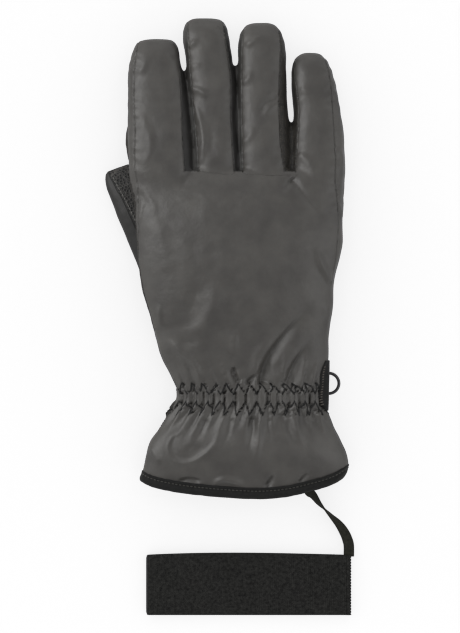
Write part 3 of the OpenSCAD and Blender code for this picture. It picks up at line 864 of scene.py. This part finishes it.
lining_rings += [lining_rings[-1] * [0.5, 1, 1] + [7, 2, 0], lining_rings[-1] * [0.04, 1, 0.04] + [13, 3, 14]]
add_tube("cuff_lining", lining_rings)

spots = []
row = hem_ring(4.7, -0.55, 600)
for point, along in evenly(np.concatenate([row, row[:1]]), 2.2):
    x, w, z, _ = hand_section(point[1])
    aside = point[0] - x
    out = (np.sign(aside), 0, 0.3) if abs(aside) > w - 4 else (aside / w * 0.25, 0, 1 if point[2] > z else -1)
    spots.append((point, along, np.array(out)))
stitches("hem_stitches", spots, 1.5, 0.27)

# ---------------------------------------------------------------- the webbing, the loop and the ring

# The strip's left and right edges along the hand's side: y, left x, right x
STRIP = [(-89.3, 58.2, 59.2), (-87.2, 55.6, 59.3), (-84.5, 54, 59.4), (-74, 54.3, 59.6), (-67, 54.9, 59.8),
         (-60.2, 57.6, 59.9)]
STRIP_LOWEST = 18.5
strip_rings, strip_top = [], []
for y in np.linspace(-60.2, -89.3, 80):
    left, right = through(STRIP, y)
    line = []
    for share, lift in ((0, 0.8), (0.3, 1.1), (0.65, 1.0)):
        x = left + (right - 0.6 - left) * share
        line.append((x, max(height_met(x, y, 60, (0, 0, -1), STRIP_LOWEST), STRIP_LOWEST) + lift))
    strip_top.append((y, *line[1]))
    line += [(right - 0.6, 19.0), (right, 16.6)]
    px, pz = np.array(line + [(x - 0.75, z - 0.9) for x, z in line[::-1]]).T
    strip_rings.append(as_points(px, y, pz))
add_tube("side_webbing", strip_rings)
strip_top = np.array(strip_top[::-1])
ys = np.arange(-64.0, -86.0, -1.45)
xs, zs = (np.interp(ys, strip_top[:, 0], strip_top[:, k]) for k in (1, 2))
along, up = np.array([1.0, 0.3, 0.1]), np.array([0, 0, 1.0])
stitches("overlock", [(point, along, up) for point in as_points(xs - 0.5, ys, zs + 0.1)], 2.3, 0.3)

RING = dict(x=60.3, y=-74.1, z=2.0, r=6.0, wire=0.76)
ring_x, ring_y = ring_points(RING["x"], RING["r"], RING["y"], RING["r"], 72, 2)
ring_line = np.stack([ring_x, ring_y, np.full(72, RING["z"])], 1)
pieces["hang_ring"] = closed_tube("hang_ring", ring_line, RING["wire"], 14)


def strap_section(wide, edge, middle):
    """A strap's section, in its half widths and half thicknesses: its corners, edge and middle."""
    half = [(-1, -edge), (-wide, -1), (-0.3, -middle), (0.3, -middle), (wide, -1), (1, -edge)]
    return np.array(half + [(-u, -v) for u, v in half]).T


def direction(line, i):
    d = line[min(i + 1, len(line) - 1)] - line[max(i - 1, 0)]
    return d / np.linalg.norm(d)


# The loop's tape: down the hand's side, round the ring's wire and back up, x and z of its middle line
TAPE_W, TAPE_T = 4.0, 0.5
WIRE_X, BEND_R = RING["x"] - RING["r"], 1.15
tape_line = [(57.2, 17.5), (57.2, 14.4), (57, 12), (56.1, 9), (55.6, 5)]
tape_line += [(WIRE_X + BEND_R * math.cos(t), RING["z"] + BEND_R * math.sin(t))
              for t in np.linspace(0, -math.pi, 13)]
tape_line += [(54.6, 5), (55.3, 9), (56.2, 12), (56.4, 14.4), (56.4, 17.5)]
tape_line = smoothed(tape_line, 60)
loop_rings = []
u, v = strap_section(0.92, 0.4, 0.9)
for i, (x, z) in enumerate(tape_line):
    dx, dz = direction(tape_line, i)
    loop_rings.append(as_points(x - dz * v * TAPE_T / 2, RING["y"] + u * TAPE_W / 2, z + dx * v * TAPE_T / 2))
add_tube("ring_loop", loop_rings)

# ---------------------------------------------------------------- the palm's grip patch

PATCH = dict(x=22, y=-6, half=(30, 37), corner=16)
# Each ring's size as a share of the patch's, and how far it lies from the palm; a groove runs inside its edge
PATCH_RINGS = [(1, 0.5), (1, -0.3), (0.985, -0.5), (0.96, -0.55), (0.945, -0.35)]
PATCH_RINGS += [(share, -0.55) for share in (0.93, 0.8, 0.65, 0.5, 0.35, 0.2, 0.03)]
a = np.linspace(0, 2 * math.pi, 120, endpoint=False)
outline_x, outline_y = ((half - PATCH["corner"]) * np.clip(c * 2.2, -1, 1) + PATCH["corner"] * c
                        for half, c in zip(PATCH["half"], (np.cos(a), np.sin(a))))
patch_rings = []
for share, lift in PATCH_RINGS:
    px, py = PATCH["x"] + outline_x * share, PATCH["y"] + outline_y * share
    pz = [max(height_met(x, y, -5, (0, 0, 1), 1.0) + lift, 0.02) for x, y in zip(px, py)]
    patch_rings.append(as_points(px, py, pz))
add_tube("palm_grip_patch", patch_rings)

# ---------------------------------------------------------------- the leash

# A bar of close stitches that holds the ribbon inside the hem
anchor_rings = []
for i, x in enumerate(np.linspace(44, 50, 61)):
    share = 1 if 0 < i < 60 else 0.5
    swell = 0.75 + 0.12 * math.cos(i * math.pi / 1.5)
    py, pz = ring_points(-130.2, swell * share, 8.0, 1.7 * share, 14, 2.6)
    anchor_rings.append(as_points(np.full(14, x), py, pz))
add_tube("leash_anchor", anchor_rings)

# The ribbon's centre line from the hem to the band, and how far its width has turned about the line
RIBBON = [(47, -133, 9, 0), (48.5, -137.5, 7.6, 20), (51.5, -141, 5.4, 50), (54.4, -145, 3.9, 68),
          (58.2, -149, 3.4, 90), (62, -153, 3.3, 108), (65.8, -157, 3, 130), (69, -161.5, 2.6, 150),
          (71.1, -166, 2.3, 165), (72.2, -170.5, 2.1, 175), (72.2, -176.5, 2, 180)]
RIBBON_W, RIBBON_T = 5.9, 0.8

route = smoothed(RIBBON, 150)
ribbon_rings = []
u, v = strap_section(0.9, 0.5, 1)
for i, angle in enumerate(np.radians(route[:, 3])):
    d = direction(route[:, :3], i)
    flat = np.cross([0, 0, 1.0], d)
    flat /= np.linalg.norm(flat)
    up = np.cross(d, flat)
    wide, thick = flat * math.cos(angle) + up * math.sin(angle), up * math.cos(angle) - flat * math.sin(angle)
    half = RIBBON_T / 2 + 0.06 * math.sin(i * 2.1)
    ribbon_rings.append(route[i, :3] + np.outer(u * RIBBON_W / 2, wide) + np.outer(v * half, thick))
add_tube("leash_ribbon", ribbon_rings)

# The band is a loop pressed flat: its elastic runs from the seam along the table, round the fold and back
BAND = dict(left=-47.6, right=73.2, top=-176, width=34.4, layer=1.3, gap=1.1, rib=1.25, skew=0.6, end=0.6)
RIB_STEPS = 6
fold_r = (BAND["layer"] + BAND["gap"]) / 2
band_start = BAND["right"] - BAND["end"]
run = band_start - BAND["left"] - fold_r - BAND["layer"] / 2
fold_length = math.pi * fold_r
band_length = 2 * run + fold_length
band_z = BAND["layer"] + BAND["gap"] / 2 + 0.05


def band_line(t):
    """The x and z of the band's middle line at t along it, and the way out of the loop there."""
    if t < run:
        return band_start - t, band_z - fold_r, 0.0, -1.0
    if t < run + fold_length:
        out_x, out_z = -math.sin((t - run) / fold_r), -math.cos((t - run) / fold_r)
        return band_start - run + fold_r * out_x, band_z + fold_r * out_z, out_x, out_z
    return band_start - run + (t - run - fold_length), band_z + fold_r, 0.0, 1.0


v = np.linspace(0, 1, 27)
edge = np.minimum(v, 1 - v) * BAND["width"]
inside = BAND["layer"] / 2 * (1 - np.exp(-((edge / 0.5) ** 2)) * 0.55)
selvedge_lip = 0.22 * np.exp(-(((edge - 1.9) / 0.45) ** 2))
band_rings = []
count = int(round(band_length / BAND["rib"])) * RIB_STEPS
for i in range(count + 1):
    x, z, out_x, out_z = band_line(band_length * i / count)
    outside = inside - selvedge_lip + 0.14 * math.cos(2 * math.pi * i / RIB_STEPS) * (edge > 0.4)
    share = np.clip((x - BAND["left"]) / (BAND["right"] - BAND["left"]), 0, 1)
    y = BAND["top"] - (BAND["width"] + BAND["skew"]) * (1 - v) + 1.3 * math.sin(math.pi * share**0.8) * v
    faces = [as_points(x + out_x * depth, y, z + out_z * depth) for depth in (outside, -inside)]
    band_rings.append(np.concatenate([faces[0], faces[1][::-1]]))
add_tube("leash_band", band_rings)
seam_rings = []
for v in np.linspace(0, 1, 90):
    x0, x1 = BAND["right"] - 2.4, BAND["right"] + 0.05 + 0.25 * math.cos(v * 90 / 2.2 * math.pi)
    z0, z1 = 0.06, 2 * BAND["layer"] + BAND["gap"] + 0.12
    px, pz = np.array([(x0, z0), (x1 - 0.5, z0), (x1, z0 + 0.6), (x1, z1 - 0.6), (x1 - 0.5, z1), (x0, z1)]).T
    seam_rings.append(as_points(px, BAND["top"] - (BAND["width"] + BAND["skew"]) * (1 - v), pz))
add_tube("leash_band_seam", seam_rings)

# ---------------------------------------------------------------- finishes


def srgb(*levels):
    """A colour given in the usual 0 to 255 levels."""
    shares = [v / 255 for v in levels]
    return (*[v / 12.92 if v <= 0.04045 else ((v + 0.055) / 1.055) ** 2.4 for v in shares], 1)


class Finish:
    """A procedural material in object coordinates, which are millimetres here."""

    def __init__(self, name, rough, specular, sheen=0.0, metal=0.0):
        self.mat = bpy.data.materials.new(name)
        self.mat.use_nodes = True
        self.tree = self.mat.node_tree
        self.shader = self.tree.nodes["Principled BSDF"]
        for key, value in (("Roughness", rough), ("Metallic", metal), ("Specular IOR Level", specular),
                           ("Sheen Weight", sheen), ("Sheen Roughness", 0.45)):
            self.shader.inputs[key].default_value = value
        place = self.node("ShaderNodeTexCoord").outputs["Object"]
        in_mm = self.node("ShaderNodeMapping", {"Vector": place, "Scale": (1 / MM,) * 3})
        self.place = in_mm.outputs["Vector"]
        self.normal = None

    def feed(self, node, key, value):
        """Gives a node's input a value, or another node's output."""
        if isinstance(value, bpy.types.NodeSocket):
            self.tree.links.new(value, node.inputs[key])
        else:
            node.inputs[key].default_value = value

    def node(self, kind, inputs=None, **settings):
        made = self.tree.nodes.new(kind)
        for key, value in settings.items():
            setattr(made, key, value)
        for key, value in (inputs or {}).items():
            self.feed(made, key, value)
        return made

    def math(self, operation, a, b):
        return self.node("ShaderNodeMath", {0: a, 1: b}, operation=operation).outputs[0]

    def noise(self, scale, detail=3.0, rough=0.5):
        inputs = {"Vector": self.place, "Scale": scale, "Detail": detail, "Roughness": rough}
        return self.node("ShaderNodeTexNoise", inputs).outputs["Fac"]

    def bands(self, pitch, axis):
        """Ridges a pitch apart in millimetres, across an axis."""
        inputs = {"Vector": self.place, "Scale": 2 * math.pi / (20 * pitch), "Distortion": 0.0}
        return self.node("ShaderNodeTexWave", inputs, wave_type="BANDS", bands_direction=axis,
                         wave_profile="SIN").outputs["Fac"]

    def weave(self, pitch):
        """A plain weave's height: threads over and under, a pitch apart."""
        return self.math("MULTIPLY", self.bands(pitch, "X"), self.bands(pitch, "Y"))

    def cells(self, scale):
        """How far the nearest edge between pebbles is."""
        inputs = {"Vector": self.place, "Scale": scale}
        return self.node("ShaderNodeTexVoronoi", inputs, feature="DISTANCE_TO_EDGE").outputs["Distance"]

    def net(self, scale):
        return self.math("SUBTRACT", 1.0, self.cells(scale))

    def colours(self, factor, low, high, start=0.3, end=0.7):
        ramp = self.node("ShaderNodeValToRGB", {"Fac": factor})
        for element, colour, position in zip(ramp.color_ramp.elements, (low, high), (start, end)):
            element.color, element.position = colour, position
        self.feed(self.shader, "Base Color", ramp.outputs["Color"])

    def bump(self, height, depth_mm, strength):
        inputs = {"Strength": strength, "Distance": depth_mm * MM, "Height": height}
        if self.normal is not None:
            inputs["Normal"] = self.normal
        self.normal = self.node("ShaderNodeBump", inputs).outputs["Normal"]
        self.feed(self.shader, "Normal", self.normal)

    def roughness(self, factor, low, high):
        span = self.node("ShaderNodeMapRange", {"To Min": low, "To Max": high, "Value": factor})
        self.feed(self.shader, "Roughness", span.outputs["Result"])


def finish(name, rough, specular, pattern, dark, light, *bumps, sheen=0.0, metal=0.0, ramp=(0.3, 0.7)):
    """A material: its colours run from dark to light over a pattern; a bump is depth, strength, pattern."""
    made = Finish(name, rough, specular, sheen, metal)
    made.colours(getattr(made, pattern[0])(*pattern[1:]), srgb(*dark), srgb(*light), *ramp)
    for depth, strength, kind, *sizes in bumps:
        made.bump(getattr(made, kind)(*sizes), depth, strength)
    return made


def thread_finish(name, dark, light, rough=0.6, specular=0.3):
    return finish(name, rough, specular, ("noise", 1.5), dark, light, (0.05, 1.0, "noise", 5.0))


WEAVE, CRUMPLE = (0.03, 0.5, "weave", 0.34), (0.12, 0.55, "noise", 0.35, 4, 0.55)
taffeta = finish("coated taffeta", 0.42, 0.5, ("noise", 0.07, 5, 0.6), (63, 61, 59), (77, 75, 72),
                 WEAVE, CRUMPLE, (0.9, 0.5, "noise", 0.11, 3))
taffeta.roughness(taffeta.noise(0.12, 3), 0.36, 0.5)
side_shell = finish("shell side", 0.5, 0.35, ("noise", 0.08, 4), (54, 53, 51), (60, 59, 57), WEAVE, CRUMPLE)
side_cloth = finish("side nylon", 0.5, 0.35, ("noise", 0.1, 4), (30, 29, 28), (38, 37, 36),
                    (0.05, 0.6, "weave", 0.5), (0.15, 0.5, "noise", 0.4, 4), sheen=0.02)
grain = finish("palm synthetic", 0.55, 0.35, ("cells", 0.9), (20, 19, 18), (64, 60, 54),
               (0.25, 0.9, "cells", 0.9), (0.04, 0.6, "noise", 3.0, 3), sheen=0.02, ramp=(0.02, 0.34))
patch = finish("grip patch", 0.62, 0.3, ("cells", 0.5), (16, 16, 16), (30, 30, 30),
               (0.4, 1.0, "cells", 0.5), (0.03, 0.5, "noise", 4.0, 2), ramp=(0.05, 0.4))
mesh_grip = finish("thumb grip", 0.55, 0.35, ("cells", 0.6), (78, 76, 73), (6, 6, 6),
                   (0.5, 1.0, "net", 0.6), ramp=(0.0, 0.12))
plain_synthetic = finish("thumb synthetic", 0.5, 0.4, ("noise", 0.2, 4), (28, 28, 27), (39, 38, 37),
                         (0.08, 0.6, "noise", 1.4, 4), sheen=0.02)
tape = finish("binding tape", 0.72, 0.25, ("noise", 0.6, 4), (13, 13, 13), (25, 25, 24),
              (0.08, 0.8, "bands", 0.55, "X"), (0.05, 0.5, "noise", 2.0, 3), sheen=0.05)
cord_finish = finish("ribbon", 0.8, 0.12, ("noise", 0.8, 4), (32, 32, 28), (50, 50, 43),
                     (0.12, 0.9, "bands", 0.6, "Y"), (0.04, 0.5, "noise", 3.0, 3))
knit = finish("band elastic", 0.78, 0.2, ("noise", 0.6, 5, 0.75), (2, 2, 2), (48, 48, 46),
              (0.22, 1.0, "bands", 1.25, "X"), (0.12, 0.8, "bands", 0.9, "Y"), sheen=0.04, ramp=(0.32, 0.68))
web = finish("webbing", 0.66, 0.3, ("noise", 0.8), (9, 9, 9), (20, 20, 20),
             (0.15, 0.9, "bands", 0.9, "Y"), sheen=0.03)
metal = finish("gunmetal", 0.32, 0.5, ("noise", 0.9), (62, 62, 64), (90, 90, 92),
               (0.03, 0.4, "noise", 1.2, 5), metal=0.9)
fleece = finish("fleece", 0.9, 0.15, ("noise", 0.9, 5), (28, 28, 30), (50, 50, 52),
                (0.7, 1.0, "noise", 1.6, 5, 0.7), sheen=0.2)
thread = thread_finish("dark thread", (12, 12, 12), (26, 26, 26))
grey_thread = thread_finish("grey thread", (92, 91, 88), (126, 125, 121))
hem_thread = thread_finish("hem thread", (64, 63, 60), (86, 85, 81))
overlock_thread = thread_finish("overlock thread", (80, 75, 70), (108, 102, 95), 0.65, 0.25)

# ---------------------------------------------------------------- what each piece is

# Two points on the wrist, at its hand end and its cuff end, and fill shares for the padded pieces
WRIST = [(0.014, y * MM, 0.0162) for y in (-66, -100)]
FULL, THUMB_FULL = 0.65, 0.6


def dress(name, look, slot, body, *nodes, fill=None):
    """Gives a piece its material and its body where that is a name, or else bakes its place into its mesh;
    hides the nodes that it stands for. The slot is not used.
    """
    obj = pieces[name]
    obj.data.materials.append(look.mat)
    if isinstance(body, str):
        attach(obj, body)
    else:
        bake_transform(obj)
    if nodes:
        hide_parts(*nodes)
    return obj


def along_finger(name, y):
    x, _, z, _ = finger_at(name, y)
    return (float(x) * MM, y * MM, float(z) * MM)


OUTER_LOOKS = {"index": taffeta, "little": grain}
INNER_LOOKS = {"little": taffeta, "ring_finger": grain}
for name in FINGERS:
    start, end = (48, 77) if name == "little" else (51, 80)
    bend = (name.removesuffix("_finger") + "_finger", along_finger(name, start), along_finger(name, end))
    for part, look, slot, nodes in (
        ("_back", taffeta, "back_fabric", ["_back_panel", "_wadding", "_lining"]),
        ("_palm", grain, "palm_synthetic", ["_palm_panel"]),
        ("_outer_strip", OUTER_LOOKS.get(name, side_shell), "side_fabric", ["_outer_side"]),
        ("_inner_strip", INNER_LOOKS.get(name, side_cloth), "side_fabric", ["_inner_side"]),
    ):
        dress(name + part, look, slot, bend, *(name + node for node in nodes), fill=FULL)
at_wrist = ("cuff", *WRIST)
dress("glove_back", taffeta, "back_fabric", at_wrist, "hand_back_shell", "hand_wadding", "cuff_back_shell",
      "cuff_wadding", "wrist_elastic_upper", "wrist_elastic_lower", fill=FULL)
dress("glove_palm", grain, "palm_synthetic", at_wrist, "hand_palm_panel", "cuff_palm_shell", fill=FULL)
dress("cuff_lining", fleece, "fleece", at_wrist, "cuff_lining", "hand_lining")
dress("upper_thread", thread, "elastic", at_wrist)
dress("lower_thread", thread, "elastic", at_wrist)
dress("thumb_grip", mesh_grip, "thumb_grip", "thumb", "thumb_grip_panel", fill=THUMB_FULL)
dress("thumb_back", plain_synthetic, "thumb_grip", "thumb", "thumb_back_panel", "thumb_wadding",
      "thumb_lining", fill=THUMB_FULL)
dress("thumb_stitches", grey_thread, "thumb_grip", "thumb")
dress("cuff_binding", tape, "binding", "cuff", "cuff_binding")
dress("hem_stitches", hem_thread, "binding", "cuff")
dress("side_webbing", web, "webbing", "hand", "side_webbing")
dress("overlock", overlock_thread, "webbing", "hand")
dress("hang_ring", metal, "ring_metal", "hang_ring", "hang_ring")
dress("ring_loop", web, "webbing", "hand", "ring_loop")
dress("leash_anchor", thread, "ribbon", "cuff", "leash_anchor")
dress("palm_grip_patch", patch, "grip_patch", "hand", "palm_grip_patch")
ribbon = dress("leash_ribbon", cord_finish, "ribbon", "cuff", "leash_ribbon")
band = dress("leash_band", knit, "band_elastic", "cuff", "leash_band")
seam = dress("leash_band_seam", knit, "band_elastic", "cuff", "leash_band_seam")

# ---------------------------------------------------------------- the studio

CENTRE = (1.8, -34.5, 15)
FLOOR_Z = -0.0005
VIEW_HEIGHT, LENS, SENSOR = 370.3, 100, 36
camera = add_object("camera", bpy.data.cameras.new("camera"))
camera.data.lens = LENS
camera.data.sensor_width = SENSOR
camera.location = (CENTRE[0] * MM, CENTRE[1] * MM, (CENTRE[2] + VIEW_HEIGHT * LENS / SENSOR) * MM)
bpy.context.scene.camera = camera

world = bpy.data.worlds.new("studio")
world.use_nodes = True
nodes, links = world.node_tree.nodes, world.node_tree.links
split = nodes.new("ShaderNodeSeparateXYZ")
ramp = nodes.new("ShaderNodeValToRGB")
links.new(nodes.new("ShaderNodeTexCoord").outputs["Generated"], split.inputs["Vector"])
links.new(split.outputs["Z"], ramp.inputs["Fac"])
for element, position, level in zip(ramp.color_ramp.elements, (0.3, 0.75), (1, 0.34)):
    element.position = position
    element.color = (level, level, level, 1)
links.new(ramp.outputs["Color"], nodes["Background"].inputs["Color"])
nodes["Background"].inputs["Strength"].default_value = 1.0
bpy.context.scene.world = world
bpy.context.scene.view_settings.view_transform = "Standard"


def softbox(name, place, size, power):
    light = bpy.data.lights.new(name, "AREA")
    light.shape = "RECTANGLE"
    light.size, light.size_y = size
    light.energy = power
    obj = add_object(name, light)
    obj.location = place
    obj.rotation_euler = (Vector((0, -0.03, 0.02)) - Vector(place)).to_track_quat("-Z", "Y").to_euler()
    return obj


key = softbox("key", (-0.75, 0.35, 0.75), (0.5, 0.9), 6.2)
fill = softbox("fill", (0.8, -0.1, 0.9), (0.6, 0.8), 2.2)
under = softbox("floor light", (0.0, -0.03, 2.0), (2.0, 2.0), 100.0)
under.data.use_shadow = False

floor_mesh = bpy.data.meshes.new("floor")
floor_mesh.from_pydata([(-3, -3, 0), (3, -3, 0), (3, 3, 0), (-3, 3, 0)], [], [(0, 1, 2, 3)])
floor = add_object("floor", floor_mesh)
floor.is_shadow_catcher = True
floor.location.z = FLOOR_Z
paper = Finish("floor", 0.9, 0.1)
paper.colours(paper.noise(0.01), (0.22, 0.22, 0.22, 1), (0.24, 0.24, 0.24, 1))
floor.data.materials.append(paper.mat)
# the floor's own light reaches nothing else, and the glove's two lights leave the floor alone
only_floor = bpy.data.collections.new("only the floor")
only_floor.objects.link(floor)
under.light_linking.receiver_collection = only_floor
no_floor = bpy.data.collections.new("all but the floor")
no_floor.objects.link(floor)
no_floor.collection_objects[0].light_linking.link_state = "EXCLUDE"
for light in (key, fill):
    light.light_linking.receiver_collection = no_floor
